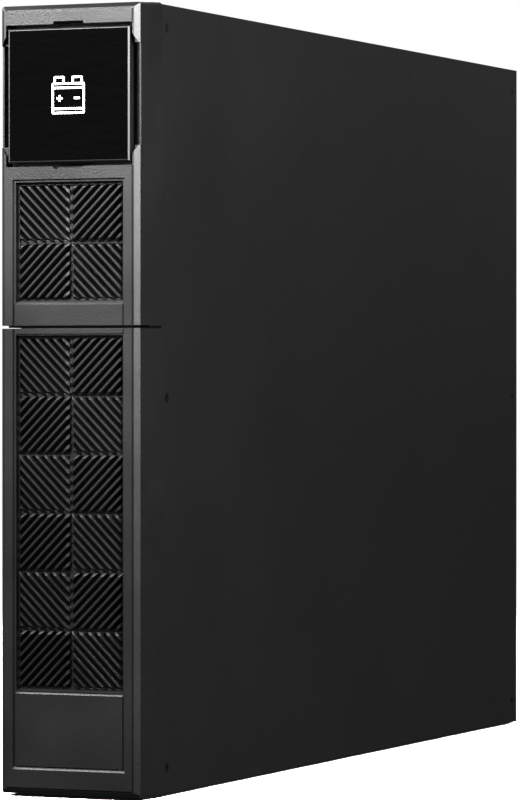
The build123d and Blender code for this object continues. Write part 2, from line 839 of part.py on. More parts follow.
def tab_places(middle):
    """X, depth and height of every faston tab, negative ones first in each block."""
    places = []
    for d, z in block_places(middle):
        for x in (15, block_length - 15):
            places.append((-block_width / 2 + 17, d + x, z + block_case + 1.5))
    return places


def battery_tabs(middle):
    tabs = []
    for x, d, z in tab_places(middle):
        blade = slab(x - tab_thick / 2, x + tab_thick / 2, d - tab_width / 2, d + tab_width / 2,
                     z, z + block_lid + tab_height - 1.5)
        tabs.append(blade)
    return group(tabs)


def battery_links(middle):
    """Insulated bars that join neighbouring blocks of one level in series."""
    links = []
    places = tab_places(middle)
    for index in range(len(places) - 1):
        x0, d0, z0 = places[index]
        _, d1, z1 = places[index + 1]
        same_block = index % 2 == 0
        if same_block or abs(z0 - z1) > 1:
            continue
        top = z0 + block_lid + tab_height - 1.5
        bar = slab(x0 + tab_thick / 2, x0 + tab_thick / 2 + 1.6, d0 - 3.2, d1 + 3.2, top - 4.4, top - 0.2)
        links.append(bar)
    return group(links)


def foam_pads():
    """Pads at both ends of each cassette and between its levels of blocks."""
    pads = []
    half = block_width / 2 - 4
    behind = tray_front + tray_sheet
    for middle in bay_middles:
        z0 = middle - tray_height / 2 + tray_sheet
        strap_room = slab(-1.0, 21.5, behind - 1, behind + strap_thick + relief,
                          middle - strap_half - 1, middle + strap_half + 1)
        for d in (behind, tray_rear - tray_sheet - foam):
            for level in range(blocks_high):
                z = z0 + level * level_height
                pad = slab(-half, half, d, d + foam, z + pad_margin, z + block_height - pad_margin)
                pads.append(pad - strap_room)
        for level in range(blocks_high - 1):
            z = z0 + level * level_height + block_height
            for index in range(blocks_deep):
                d = behind + foam + index * (block_length + block_spacing)
                pads.append(slab(4, half, d + 6, d + block_length - 6, z, z + tab_height + foam))
    return group(pads)


def pull_strap(middle):
    """Webbing loop at the front of a cassette, its ends tucked through the tray."""
    thick = strap_thick
    ahead = tray_front - strap_reach
    behind = tray_front + tray_sheet
    z0, z1 = middle - strap_half, middle + strap_half
    runs = [slab(0.0, 20.0, ahead, ahead + thick, z0, z1)]
    for x, tuck_0, tuck_1 in ((0.3, 0.2, 4.0), (16.3, 13.8, 17.6)):
        runs.append(slab(x, x + thick, ahead, behind + thick, z0, z1))
        runs.append(slab(tuck_0, tuck_1, behind, behind + thick, z0, z1))
    return join(runs)


# ---------------------------------------------------------------- rear electrics
def spacer_places():
    return [(d, z) for d in (board_start + 6, board_end - 6) for z in (board_low + 8, board_high - 8)]


def bus_board():
    board = slab(board_x, board_face, board_start, board_end, board_low, board_high)
    for d, z in spacer_places():
        board -= cross_rod(screw_radius, board_x - 1, board_face + 1, d, z)
    return board


def board_spacers():
    spacers = []
    for d, z in spacer_places():
        tube = cross_rod(3.0, -inner_half, board_x, d, z)
        peg = cross_rod(screw_radius, board_x - 1, board_face + 1.5, d, z)
        spacers.append(join([tube, peg]))
    return group(spacers)


def fuse_clips():
    clips = []
    d = board_middle
    for way in (-1, 1):
        z = fuse_height + way * (fuse_length - fuse_cap) / 2
        clip = slab(board_face, fuse_x + 2, d - fuse_radius - 1, d + fuse_radius + 1, z - 4, z + 4)
        clips.append(clip - upright_rod(fuse_radius, fuse_x, d, z - 5, z + 5))
    return group(clips)


def string_fuse():
    low = fuse_height - fuse_length / 2
    high = fuse_height + fuse_length / 2
    tube = upright_rod(fuse_radius - 0.35, fuse_x, board_middle, low + fuse_cap - 1, high - fuse_cap + 1)
    caps = [upright_rod(fuse_radius, fuse_x, board_middle, z, z + fuse_cap)
            for z in (low, high - fuse_cap)]
    return join([tube, *caps])


def board_parts():
    """Terminal posts and the detection chip on the board."""
    top = board_face
    d = board_middle
    posts = [slab(top, top + 8, d - 14, d - 2, z - 6, z + 6) for z in (board_low + 20, board_high - 30)]
    chip = slab(top, top + 2.4, d + 8, d + 18, board_low + 50, board_low + 64)
    return group([*posts, chip])


def lead(points):
    """A round lead along points of (x, depth, height), its corners rounded."""
    places = [(x, front + d, z) for x, d, z in points]
    if len(places) > 2:
        line = FilletPolyline(*places, radius=lead_bend)
    else:
        line = Line(*places)
    section = Plane(origin=line @ 0, z_dir=line % 0) * Circle(lead_radius)
    return sweep(section, path=line)


def plug_block(z, d0, d1):
    return slab(plug_x - plug_half_x, plug_x + plug_half_x, d0, d1, z - plug_half_z, z + plug_half_z)


def battery_plugs():
    """Two-pole plugs clipped to the back of each cassette."""
    start = tray_rear + plug_stem
    plugs = []
    for z in plug_heights:
        stem = slab(plug_x - 4, plug_x + 4, tray_rear, start + 0.5, z - 8, z + 8)
        plugs.append(join([plug_block(z, start, socket_start), stem]))
    return group(plugs)


def battery_sockets():
    return group([plug_block(z, socket_start, socket_end) for z in plug_heights])


def leads(side):
    """One polarity: from both battery sockets to the switch, and on to the connectors."""
    x = plug_x + plug_half_x / 2 * side
    across = switch_back + 5.4
    lower, upper = (z + lead_pitch * side for z in plug_heights)
    x_up = 27.5 - 3.5 * side
    z_in = switch_foot + 19.0 - 5.0 * side
    paths = [
        [(x, socket_end, lower), (x, across, lower), (x_up, across, lower), (x_up, across, z_in),
         (switch_width / 2, across, z_in)],
        [(x, socket_end, upper), (x, switch_back, upper)],
    ]
    for index, z in enumerate(connector_heights):
        depth = case_rear - sheet - connector_inner
        behind = depth - 10.5 * (index + 1)
        height = z + side * connector_length / 4
        x = 5.0 * side
        paths.append([(x, behind, switch_foot), (x, behind, height), (x, depth, height)])
    return group([lead(path) for path in paths])


def rear_cutouts():
    """Every opening of the rear panel."""
    cuts = []
    d0 = case_rear - sheet - 1
    d1 = case_rear + 1
    for z in connector_heights:
        cuts.append(slab(-connector_width / 2, connector_width / 2, d0, d1,
                         z - connector_length / 2, z + connector_length / 2))
    cuts.append(slab(-switch_width / 2, switch_width / 2, d0, d1,
                     switch_height - nose_length / 2, switch_height + nose_length / 2))
    cuts.append(slab(port_offset - port_width / 2, port_offset + port_width / 2, d0, d1,
                     port_height - port_tall / 2, port_height + port_tall / 2))
    cuts.append(rod(earth_radius, d0, d1, earth_offset, earth_height))
    for index in range(vent_slots):
        z = vent_base + index * vent_pitch
        cuts.append(slab(-vent_length / 2, vent_length / 2, d0, d1, z, z + vent_width))
    for x, z in rear_screw_places():
        cuts.append(rod(screw_radius, d0, d1, x, z))
    return cuts


def rear_screw_places():
    heights = (inner_low + rear_screw_inset, half_height, inner_high - rear_screw_inset)
    return [(x, z) for x in (-rear_screw_x, rear_screw_x) for z in heights]


def rear_sheet(z0, z1):
    return slab(-inner_half, inner_half, case_rear - sheet, case_rear, z0, z1) - rear_cutouts()


def rear_panel():
    """Vented main panel with the switch, the connectors and the earth stud."""
    return rear_sheet(inner_low, port_plate_low - running_gap)


def port_plate():
    """Removable plate above the main panel that holds the detection port."""
    return rear_sheet(port_plate_low, inner_high)


def rear_panel_screws():
    screws = []
    for x, z in rear_screw_places():
        head = rod(screw_head, case_rear, case_rear + 1.8, x, z)
        for w, h in ((3.6, 0.8), (0.8, 3.6)):
            head -= slab(x - w / 2, x + w / 2, case_rear + 0.9, case_rear + 3, z - h / 2, z + h / 2)
        screws.append(join([head, rod(screw_radius, case_rear - sheet, case_rear, x, z)]))
    return group(screws)


def dc_connector_shells():
    """Two-pole battery connectors, each with two deep sockets and a flange on the panel."""
    shells = []
    for z in connector_heights:
        body = slab(-connector_width / 2, connector_width / 2, case_rear - sheet - connector_inner,
                    case_rear + rear_reach, z - connector_length / 2, z + connector_length / 2)
        flange = slab(-connector_width / 2 - 3, connector_width / 2 + 3, case_rear, case_rear + 2.0,
                      z - connector_length / 2 - 3, z + connector_length / 2 + 3)
        body = join([body, flange])
        for way in (-1, 1):
            middle = z + way * connector_length / 4
            body -= slab(-socket_width / 2, socket_width / 2, case_rear + rear_reach - socket_depth,
                         case_rear + rear_reach + 1, middle - socket_length / 2,
                         middle + socket_length / 2)
        shells.append(body)
    return group(shells)


def dc_connector_contacts():
    contacts = []
    base = case_rear + rear_reach - socket_depth
    for z in connector_heights:
        for way in (-1, 1):
            middle = z + way * connector_length / 4
            contacts.append(slab(-socket_width / 2, -socket_width / 2 + 1.6, base, base + 14,
                                 middle - 5, middle + 5))
    return group(contacts)


def detection_port():
    """Eight-pole modular jack that tells the supply how many cabinets are fitted."""
    body = slab(port_offset - port_width / 2, port_offset + port_width / 2,
                case_rear - port_depth, case_rear + port_lip,
                port_height - port_tall / 2, port_height + port_tall / 2)
    cavity = slab(port_offset - 5.9, port_offset + 5.9, case_rear - 12, case_rear + port_lip + 1,
                  port_height - 4.6, port_height + 3.4)
    latch = slab(port_offset - 3.1, port_offset + 3.1, case_rear - 12, case_rear + port_lip + 1,
                 port_height - 6.0, port_height - 4.5)
    return body - cavity - latch


def port_contacts():
    wires = []
    for index in range(8):
        x = port_offset - 3.57 + index * 1.02
        wires.append(slab(x - 0.22, x + 0.22, case_rear - 11.9, case_rear - 3, port_height + 2.7,
                          port_height + 3.4))
    return group(wires)


def port_board():
    """Small board that carries the port, on the panel's inner side."""
    board = slab(port_offset - port_width / 2 - 4, port_offset + port_width / 2 + 14,
                 case_rear - port_depth - 1.6, case_rear - port_depth,
                 port_height - port_tall / 2 - 8, port_height + port_tall / 2 + 4)
    return board


def switch_body():
    """Two-pole isolating switch; its nose looks through the panel."""
    half = switch_width / 2
    block = slab(-half, half, switch_back, case_rear - sheet, switch_foot, switch_height + switch_length / 2)
    nose = slab(-half, half, case_rear - sheet - 1, case_rear + nose_rise,
                switch_height - nose_length / 2, switch_height + nose_length / 2)
    room = lever_hub + running_gap
    body = join([block, nose])
    body -= cross_rod(room, -lever_width / 2 - running_gap, lever_width / 2 + running_gap,
                      lever_axis, switch_height)
    slot = slab(-lever_width / 2 - running_gap, lever_width / 2 + running_gap,
                lever_axis, case_rear + nose_rise + 1, switch_height - 14.5, switch_height + 14.5)
    return body - slot


def switch_frame():
    """Trim frame around the switch's nose."""
    half = switch_width / 2
    outer = slab(-half - 4, half + 4, case_rear, case_rear + 1.6, switch_height - nose_length / 2 - 4,
                 switch_height + nose_length / 2 + 4)
    return outer - slab(-half, half, case_rear - 1, case_rear + 3, switch_height - nose_length / 2,
                        switch_height + nose_length / 2)


def switch_lever():
    """Rocking lever across both poles, shown closed (tilted up)."""
    hub = cross_rod(lever_hub, -lever_width / 2, lever_width / 2, lever_axis, switch_height)
    blade = slab(-lever_width / 2, lever_width / 2, lever_axis, lever_axis + 14.5,
                 switch_height - 2.4, switch_height + 2.4)
    blade = fillet(blade.edges().filter_by(Axis.X), 1.0)
    hinge = Pos(0, front + lever_axis, switch_height)
    back = Pos(0, -front - lever_axis, -switch_height)
    return join([hub, hinge * Rot(lever_tilt, 0, 0) * back * blade])


def hexagon(d0, d1):
    """A hexagonal prism on the earth stud's axis."""
    plane = Plane(origin=(earth_offset, front + d0, earth_height), x_dir=(1, 0, 0), z_dir=(0, 1, 0))
    return extrude(plane * RegularPolygon(earth_hex, 6), d1 - d0)


def earth_stud():
    """M5 stud with a hexagonal collar that seats on the rear panel."""
    shank = rod(earth_radius, case_rear - sheet - earth_tail, case_rear + earth_reach,
                earth_offset, earth_height)
    return join([shank, hexagon(case_rear, case_rear + earth_collar)])


def earth_nut():
    """The nut that clamps the stud from inside the panel."""
    back = case_rear - sheet
    nut = hexagon(back - earth_collar, back)
    return nut - rod(earth_radius, back - 2 * earth_collar, case_rear, earth_offset, earth_height)


def parts():
    """Every sub-part by the name of its node."""
    low_bay, high_bay = bay_middles
    return {
        "upper_bezel": drill_studs(upper_bezel(), upper_studs),
        "lower_bezel": drill_studs(lower_bezel(), lower_studs),
        "upper_grille": upper_grille(),
        "lower_grille": lower_grille(),
        "blank_nameplate": blank_nameplate(),
        "plate_carrier": plate_carrier(),
        "plate_window": plate_window(),
        "battery_symbol": battery_symbol(),
        "plate_stem": plate_stem(),
        "stem_collar": stem_collar(),
        "plate_housing": plate_housing(),
        "upper_bezel_studs": studs(upper_studs),
        "lower_bezel_studs": studs(lower_studs),
        "bezel_grommets": bezel_grommets(),
        "case_pan": case_pan(),
        "case_cover": case_cover(),
        "cover_screws": cover_screws(),
        "rack_ear_nuts": rack_ear_nuts(),
        "front_panel": front_panel(),
        "battery_doors": battery_doors(),
        "door_screws": door_screws(),
        "middle_divider": middle_divider(),
        "bay_rails": bay_rails(),
        "lower_battery_tray": battery_tray(low_bay),
        "upper_battery_tray": battery_tray(high_bay),
        "lower_battery_cases": battery_cases(low_bay),
        "upper_battery_cases": battery_cases(high_bay),
        "lower_battery_lids": battery_lids(low_bay),
        "upper_battery_lids": battery_lids(high_bay),
        "lower_battery_tabs": battery_tabs(low_bay),
        "upper_battery_tabs": battery_tabs(high_bay),
        "lower_battery_links": battery_links(low_bay),
        "upper_battery_links": battery_links(high_bay),
        "foam_pads": foam_pads(),
        "lower_pull_strap": pull_strap(low_bay),
        "upper_pull_strap": pull_strap(high_bay),
        "battery_plugs": battery_plugs(),
        "battery_sockets": battery_sockets(),
        "positive_leads": leads(1),
        "negative_leads": leads(-1),
        "bus_board": bus_board(),
        "board_spacers": board_spacers(),
        "board_parts": board_parts(),
        "fuse_clips": fuse_clips(),
        "string_fuse": string_fuse(),
        "rear_panel": rear_panel(),
        "port_plate": port_plate(),
        "rear_panel_screws": rear_panel_screws(),
        "dc_connector_shells": dc_connector_shells(),
        "dc_connector_contacts": dc_connector_contacts(),
        "detection_port": detection_port(),
        "port_contacts": port_contacts(),
        "port_board": port_board(),
        "switch_body": switch_body(),
        "switch_frame": switch_frame(),
        "switch_lever": switch_lever(),
        "earth_stud": earth_stud(),
        "earth_nut": earth_nut(),
    }


if __name__ == "__main__":
    os.makedirs("parts", exist_ok=True)
    for name, shape in parts().items():
        export_step(shape, f"parts/{name}.step")
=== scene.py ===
"""Looks for a 2U battery cabinet of an uninterruptible power supply, laid out as an add-on.

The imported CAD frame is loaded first; every piece made here rides on one of its bodies.
All places are in metres, in the frame's own axes: front towards -Y, +X to the right, +Z up.
"""

import math

import bmesh
import bpy
from bpy.props import BoolProperty, FloatProperty, FloatVectorProperty, PointerProperty, StringProperty
from mathutils import Matrix, Vector


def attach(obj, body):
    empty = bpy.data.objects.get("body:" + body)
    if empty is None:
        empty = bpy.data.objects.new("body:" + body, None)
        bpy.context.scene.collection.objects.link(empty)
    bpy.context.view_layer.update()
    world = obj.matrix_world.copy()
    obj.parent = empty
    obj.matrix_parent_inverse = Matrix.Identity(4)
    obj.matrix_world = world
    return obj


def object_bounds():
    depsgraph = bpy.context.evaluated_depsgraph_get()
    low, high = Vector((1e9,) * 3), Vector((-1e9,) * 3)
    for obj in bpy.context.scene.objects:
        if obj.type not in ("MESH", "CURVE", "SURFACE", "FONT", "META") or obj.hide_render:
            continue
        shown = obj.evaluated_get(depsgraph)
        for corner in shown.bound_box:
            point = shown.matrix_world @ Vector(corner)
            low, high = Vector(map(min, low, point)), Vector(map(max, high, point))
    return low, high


bl_info = {
    "name": "Battery cabinet looks",
    "version": (1, 0, 0),
    "blender": (4, 5, 0),
    "location": "View3D > Sidebar > Cabinet",
    "description": "Materials, printed marks, lights and camera for a UPS battery cabinet",
    "category": "Object",
}

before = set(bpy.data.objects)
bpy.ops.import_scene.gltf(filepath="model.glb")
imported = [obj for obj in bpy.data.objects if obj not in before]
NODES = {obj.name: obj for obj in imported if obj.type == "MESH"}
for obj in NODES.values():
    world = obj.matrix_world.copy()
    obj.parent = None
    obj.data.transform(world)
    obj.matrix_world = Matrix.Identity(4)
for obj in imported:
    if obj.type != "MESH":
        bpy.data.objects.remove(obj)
CAD_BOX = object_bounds()
MM = 0.001

# Printed signs and label on the rear panel
PRINT_THICK = 0.1 * MM
SIGN_LINE = 0.8 * MM
SIGN_SIZE = 6.0 * MM
POLE_SIGN = 0.7 * SIGN_SIZE
SIGN_BLOCK = 56 * MM        # height over which one connector's plus and minus are spread
PLUS_SHARE = 0.72
MINUS_SHARE = 0.28
EARTH_GAP = 3.0 * MM
EARTH_PITCH = 1.7 * MM
EARTH_SHARES = (0.3, 0.65, 1.0)
EARTH_LEG_RISE = 9.0 * MM
EARTH_LEG = 4.0 * MM
LABEL_WIDTH = 44 * MM
LABEL_HEIGHT = 22 * MM
LABEL_ASIDE = -14 * MM
LABEL_DROP = 2 * MM


# ---------------------------------------------------------------- colour and nodes
def srgb(hex_value):
    """Linear colour of an sRGB hex value such as "#141416"."""
    digits = hex_value.lstrip("#")
    values = [int(digits[i:i + 2], 16) / 255 for i in (0, 2, 4)]
    linear = [v / 12.92 if v <= 0.04045 else ((v + 0.055) / 1.055) ** 2.4 for v in values]
    return (*linear, 1.0)


def add(tree, kind, settings=None, **links):
    """Adds a node, sets its properties and inputs, and links inputs to other nodes' outputs."""
    node = tree.nodes.new(kind)
    for key, value in (settings or {}).items():
        if isinstance(key, int) or key in node.inputs:
            node.inputs[key].default_value = value
        else:
            setattr(node, key, value)
    for key, source in links.items():
        socket = node.inputs[int(key[1:])] if key[0] == "i" and key[1:].isdigit() else None
        socket = socket or node.inputs[key.replace("_", " ")]
        tree.links.new(source, socket)
    return node


def new_material(name):
    """An empty node material with its output; returns the material and its tree."""
    material = bpy.data.materials.new(name)
    material.use_nodes = True
    material.node_tree.nodes.clear()
    return material, material.node_tree


def close_material(tree, shader):
    """Sends a shader to the material's output."""
    output = add(tree, "ShaderNodeOutputMaterial")
    tree.links.new(shader.outputs[0], output.inputs["Surface"])


def ramp(tree, source, stops):
    """A colour ramp with (position, colour) stops."""
    node = add(tree, "ShaderNodeValToRGB", Fac=source)
    while len(node.color_ramp.elements) < len(stops):
        node.color_ramp.elements.new(0.5)
    for element, (position, colour) in zip(node.color_ramp.elements, stops):
        element.position = position
        element.color = colour
    return node


def moulded(name, colour, light, roughness, grain_mm, grain_depth_mm, ior=1.5, coat=0.0, shade=0.12):
    """Injection-moulded plastic: a spark-eroded grain and a faint uneven gloss."""
    material, tree = new_material(name)
    place = add(tree, "ShaderNodeTexCoord").outputs["Object"]
    grain = add(tree, "ShaderNodeTexNoise", {"Scale": 1 / (grain_mm * MM), "Detail": 3.0, "Roughness": 0.6},
                Vector=place)
    flow = add(tree, "ShaderNodeTexNoise", {"Scale": 1 / (60 * MM), "Detail": 2.0}, Vector=place)
    base, pale = srgb(colour), srgb(light)
    tint = ramp(tree, flow.outputs["Fac"], [(0.3, base), (0.7, pale)])
    dark, bright = (1 - shade,) * 3 + (1.0,), (1 + shade,) * 3 + (1.0,)
    speck = ramp(tree, grain.outputs["Fac"], [(0.35, dark), (0.65, bright)])
    mixed = add(tree, "ShaderNodeMix", {"data_type": "RGBA", "blend_type": "MULTIPLY", "Factor": 1.0})
    tree.links.new(tint.outputs["Color"], mixed.inputs[6])
    tree.links.new(speck.outputs["Color"], mixed.inputs[7])
    rough = add(tree, "ShaderNodeMapRange", {"From Min": 0.3, "From Max": 0.7, "To Min": roughness - 0.03,
                                             "To Max": roughness + 0.04}, Value=flow.outputs["Fac"])
    bump = add(tree, "ShaderNodeBump", {"Strength": 1.0, "Distance": grain_depth_mm * MM},
               Height=grain.outputs["Fac"])
    shader = add(tree, "ShaderNodeBsdfPrincipled", {"IOR": ior, "Coat Weight": coat, "Coat Roughness": 0.08},
                 Base_Color=mixed.outputs[2], Roughness=rough.outputs["Result"],
                 Normal=bump.outputs["Normal"])
    close_material(tree, shader)
    return material


def powder_coat():
    """Polyester powder coat on steel: black, a fine sand texture over a slow orange peel."""
    material, tree = new_material("powder_coated_steel")
    place = add(tree, "ShaderNodeTexCoord").outputs["Object"]
    sand = add(tree, "ShaderNodeTexNoise", {"Scale": 1 / (1.1 * MM), "Detail": 4.0, "Roughness": 0.65},
               Vector=place)
    peel = add(tree, "ShaderNodeTexNoise", {"Scale": 1 / (9 * MM), "Detail": 2.0}, Vector=place)
    cloud = add(tree, "ShaderNodeTexNoise", {"Scale": 1 / (120 * MM), "Detail": 3.0}, Vector=place)
    tint = ramp(tree, sand.outputs["Fac"], [(0.3, srgb("#030303")), (0.7, srgb("#060607"))])
    height = add(tree, "ShaderNodeMath", {"operation": "MULTIPLY_ADD", 1: 3.0}, i0=peel.outputs["Fac"],
                 i2=sand.outputs["Fac"])
    bump = add(tree, "ShaderNodeBump", {"Strength": 1.0, "Distance": 0.03 * MM}, Height=height.outputs[0])
    rough = add(tree, "ShaderNodeMapRange", {"From Min": 0.3, "From Max": 0.7,
                                             "To Min": 0.36, "To Max": 0.44}, Value=cloud.outputs["Fac"])
    shader = add(tree, "ShaderNodeBsdfPrincipled", {"IOR": 1.45}, Base_Color=tint.outputs["Color"],
                 Roughness=rough.outputs["Result"], Normal=bump.outputs["Normal"])
    close_material(tree, shader)
    return material


def polished_window():
    """Polished black polycarbonate: nearly mirror gloss, hairline wiping marks in the roughness."""
    material, tree = new_material("polished_polycarbonate")
    place = add(tree, "ShaderNodeTexCoord").outputs["Object"]
    stretch = add(tree, "ShaderNodeMapping", {"Scale": (0.15, 1.0, 1.0), "Rotation": (0.0, 0.5, 0.0)},
                  Vector=place)
    wipe = add(tree, "ShaderNodeTexNoise", {"Scale": 1 / (2.2 * MM), "Detail": 5.0, "Roughness": 0.7},
               Vector=stretch.outputs["Vector"])
    rough = add(tree, "ShaderNodeMapRange", {"From Min": 0.4, "From Max": 0.75,
                                             "To Min": 0.07, "To Max": 0.08}, Value=wipe.outputs["Fac"])
    tint = ramp(tree, wipe.outputs["Fac"], [(0.4, srgb("#000000")), (0.8, srgb("#010101"))])
    shader = add(tree, "ShaderNodeBsdfPrincipled", {"IOR": 1.58}, Base_Color=tint.outputs["Color"],
                 Roughness=rough.outputs["Result"])
    close_material(tree, shader)
    return material


def screen_print_painted_glow():
    """White screen-printed ink: matte, very slightly uneven in cover, with a faint painted glow from
    emission.
    """
    material, tree = new_material("white_ink_painted_glow")
    place = add(tree, "ShaderNodeTexCoord").outputs["Object"]
    cover = add(tree, "ShaderNodeTexNoise", {"Scale": 1 / (0.6 * MM), "Detail": 2.0}, Vector=place)
    tint = ramp(tree, cover.outputs["Fac"], [(0.25, srgb("#E6E6E4")), (0.6, srgb("#FBFBFA"))])
    # Painted glow: the ink emits a little of its own colour, so the print shines though it is no lamp.
    shader = add(tree, "ShaderNodeBsdfPrincipled",
                 {"Roughness": 0.55, "IOR": 1.45, "Emission Strength": 0.12},
                 Base_Color=tint.outputs["Color"], Emission_Color=tint.outputs["Color"])
    close_material(tree, shader)
    return material


def plated(name, dark, pale, roughness, spangle_mm=0.0):
    """Zinc on steel: bright fasteners from a bath, or sheet with frozen zinc spangle."""
    material, tree = new_material(name)
    place = add(tree, "ShaderNodeTexCoord").outputs["Object"]
    if spangle_mm:
        cell = add(tree, "ShaderNodeTexVoronoi", {"Scale": 1 / (spangle_mm * MM)}, Vector=place)
        source = cell.outputs["Color"]
    else:
        cloud = add(tree, "ShaderNodeTexNoise", {"Scale": 1 / (1.5 * MM), "Detail": 3.0}, Vector=place)
        source = cloud.outputs["Fac"]
    tint = ramp(tree, source, [(0.2, srgb(dark)), (0.8, srgb(pale))])
    rough = add(tree, "ShaderNodeMapRange", {"To Min": roughness - 0.06, "To Max": roughness + 0.08},
                Value=source)
    shader = add(tree, "ShaderNodeBsdfPrincipled", {"Metallic": 1.0}, Base_Color=tint.outputs["Color"],
                 Roughness=rough.outputs["Result"])
    close_material(tree, shader)
    return material


def woven_webbing():
    """Nylon webbing: crossing ribs about a millimetre apart."""
    material, tree = new_material("woven_nylon")
    place = add(tree, "ShaderNodeTexCoord").outputs["Object"]
    across = add(tree, "ShaderNodeTexWave", {"Scale": 1 / (6.3 * MM), "bands_direction": "X"}, Vector=place)
    along = add(tree, "ShaderNodeTexWave", {"Scale": 1 / (6.3 * MM), "bands_direction": "Z"}, Vector=place)
    weave = add(tree, "ShaderNodeMath", {"operation": "MULTIPLY"}, i0=across.outputs["Fac"],
                i1=along.outputs["Fac"])
    tint = ramp(tree, weave.outputs[0], [(0.1, srgb("#08080A")), (0.8, srgb("#26262A"))])
    bump = add(tree, "ShaderNodeBump", {"Distance": 0.2 * MM}, Height=weave.outputs[0])
    shader = add(tree, "ShaderNodeBsdfPrincipled", {"Roughness": 0.85, "Sheen Weight": 0.3},
                 Base_Color=tint.outputs["Color"], Normal=bump.outputs["Normal"])
    close_material(tree, shader)
    return material


def circuit_board():
    """Glass-epoxy board under green mask, copper tracks showing as paler lines."""
    material, tree = new_material("masked_circuit_board")
    place = add(tree, "ShaderNodeTexCoord").outputs["Object"]
    track = add(tree, "ShaderNodeTexBrick", {"Scale": 1 / (14 * MM), "Mortar Size": 0.03,
                                             "Color1": srgb("#0B3A1C"), "Color2": srgb("#0E4522"),
                                             "Mortar": srgb("#1E6B38")}, Vector=place)
    shader = add(tree, "ShaderNodeBsdfPrincipled", {"Roughness": 0.3, "Coat Weight": 0.4},
                 Base_Color=track.outputs["Color"])
    close_material(tree, shader)
    return material


# ---------------------------------------------------------------- finishing CAD nodes
def dress(node, material, edge_mm=0.0, segments=2):
    """Gives a CAD node its material and breaks its sharp edges as moulding or folding leaves them."""
    piece = NODES[node]
    piece.data.materials.clear()
    piece.data.materials.append(material)
    if not edge_mm:
        return piece
    weld = piece.modifiers.new("weld", "WELD")
    weld.merge_threshold = 0.005 * MM
    flat = piece.modifiers.new("flatten", "DECIMATE")
    flat.decimate_type = "DISSOLVE"
    flat.angle_limit = math.radians(0.5)
    edge = piece.modifiers.new("edge", "BEVEL")
    edge.width = edge_mm * MM
    edge.segments = segments
    edge.limit_method = "ANGLE"
    edge.angle_limit = math.radians(28)
    edge.use_clamp_overlap = True
    edge.harden_normals = True
    even = piece.modifiers.new("even", "WEIGHTED_NORMAL")
    even.keep_sharp = True
    return piece


def mesh_piece(name, bm, material, body):
    """Turns a bmesh into a piece that rides on a body."""
    bmesh.ops.recalc_face_normals(bm, faces=bm.faces)
    mesh = bpy.data.meshes.new(name)
    bm.to_mesh(mesh)
    bm.free()
    mesh.materials.append(material)
    piece = bpy.data.objects.new(name, mesh)
    bpy.context.scene.collection.objects.link(piece)
    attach(piece, body)
    return piece


def add_bar(bm, middle, width, height, thick):
    """Adds a flat bar to a bmesh, standing across the depth."""
    place = Matrix.Translation(middle) @ Matrix.Diagonal((width, thick, height, 1.0))
    bmesh.ops.create_cube(bm, size=1.0, matrix=place)


def add_ring(bm, middle, outer, inner, thick, steps=40):
    """Adds a flat ring to a bmesh, standing across the depth."""
    loops = []
    for radius, dy in ((outer, -thick / 2), (inner, -thick / 2), (inner, thick / 2), (outer, thick / 2)):
        loops.append([bm.verts.new((middle[0] + radius * math.cos(2 * math.pi * k / steps), middle[1] + dy,
                                    middle[2] + radius * math.sin(2 * math.pi * k / steps)))
                      for k in range(steps)])
    for here, there in zip(loops, loops[1:] + loops[:1]):
        for k in range(steps):
            after = (k + 1) % steps
            bm.faces.new((here[k], here[after], there[after], there[k]))


def material_once(name, make):
    """The material of that name, made on first use."""
    return bpy.data.materials.get(name) or make()


def abs_bezel():
    """Bezel ABS: spark-eroded fine grain, semi-matte."""
    return material_once("moulded_abs", lambda: moulded(
        "moulded_abs", "#050506", "#070708", 0.36, 0.8, 0.12, shade=0.25))


def abs_grille():
    """Grille ABS: finer grain than the bezel, satin."""
    return material_once("satin_abs", lambda: moulded("satin_abs", "#030304", "#050505", 0.36, 0.6, 0.02))


def abs_carrier():
    """Plate carrier ABS: fine satin, its bevel catches the light."""
    return material_once("carrier_abs", lambda: moulded(
        "carrier_abs", "#08080A", "#0A0A0B", 0.36, 0.6, 0.006))


# ---------------------------------------------------------------- settings
class CabinetFront(bpy.types.PropertyGroup):
    edge_break: FloatProperty(
        name="Moulding edge", description="Radius on the moulded edges", default=0.45, min=0.0, max=1.0)
    rib_edge: FloatProperty(
        name="Rib edge", description="Radius on the louvre ribs, millimetres", default=0.16, min=0.0, max=0.5)


class CabinetStage(bpy.types.PropertyGroup):
    lens: FloatProperty(name="Lens", description="Focal length in millimetres", default=197.3)
    azimuth: FloatProperty(name="Azimuth", description="Camera direction from the front", subtype="ANGLE",
                           default=math.radians(23.3))
    elevation: FloatProperty(name="Elevation", description="Camera elevation", subtype="ANGLE",
                             default=math.radians(0.28))
    distance: FloatProperty(name="Distance", description="Camera to the middle of the front",
                            subtype="DISTANCE", default=2.416)
    aside: FloatProperty(name="Aside", description="How far the view's axis passes beside the front's middle",
                         subtype="DISTANCE", default=0.1057)
    surround: FloatProperty(name="Surround", description="Strength of the even light", default=0.085)
    floor_colour: StringProperty(name="Floor", description="Floor colour as sRGB hex", default="#F4F4F3")


# ---------------------------------------------------------------- operators
class CABINET_OT_bezels(bpy.types.Operator):
    """Finish the two bezel mouldings, the blank nameplate and the plate's housing"""
    bl_idname = "cabinet.bezels"
    bl_label = "Bezels"

    def execute(self, context):
        edge = context.scene.cabinet_front.edge_break
        dress("upper_bezel", abs_bezel(), edge)
        dress("lower_bezel", abs_bezel(), edge)
        dress("blank_nameplate", abs_bezel(), 0.12)
        dress("plate_housing", abs_grille(), 0.2)
        return {"FINISHED"}


class CABINET_OT_grilles(bpy.types.Operator):
    """Finish the louvred grille inserts"""
    bl_idname = "cabinet.grilles"
    bl_label = "Grilles"

    def execute(self, context):
        edge = context.scene.cabinet_front.rib_edge
        for node in ("upper_grille", "lower_grille"):
            dress(node, abs_grille(), edge, 1)
        return {"FINISHED"}


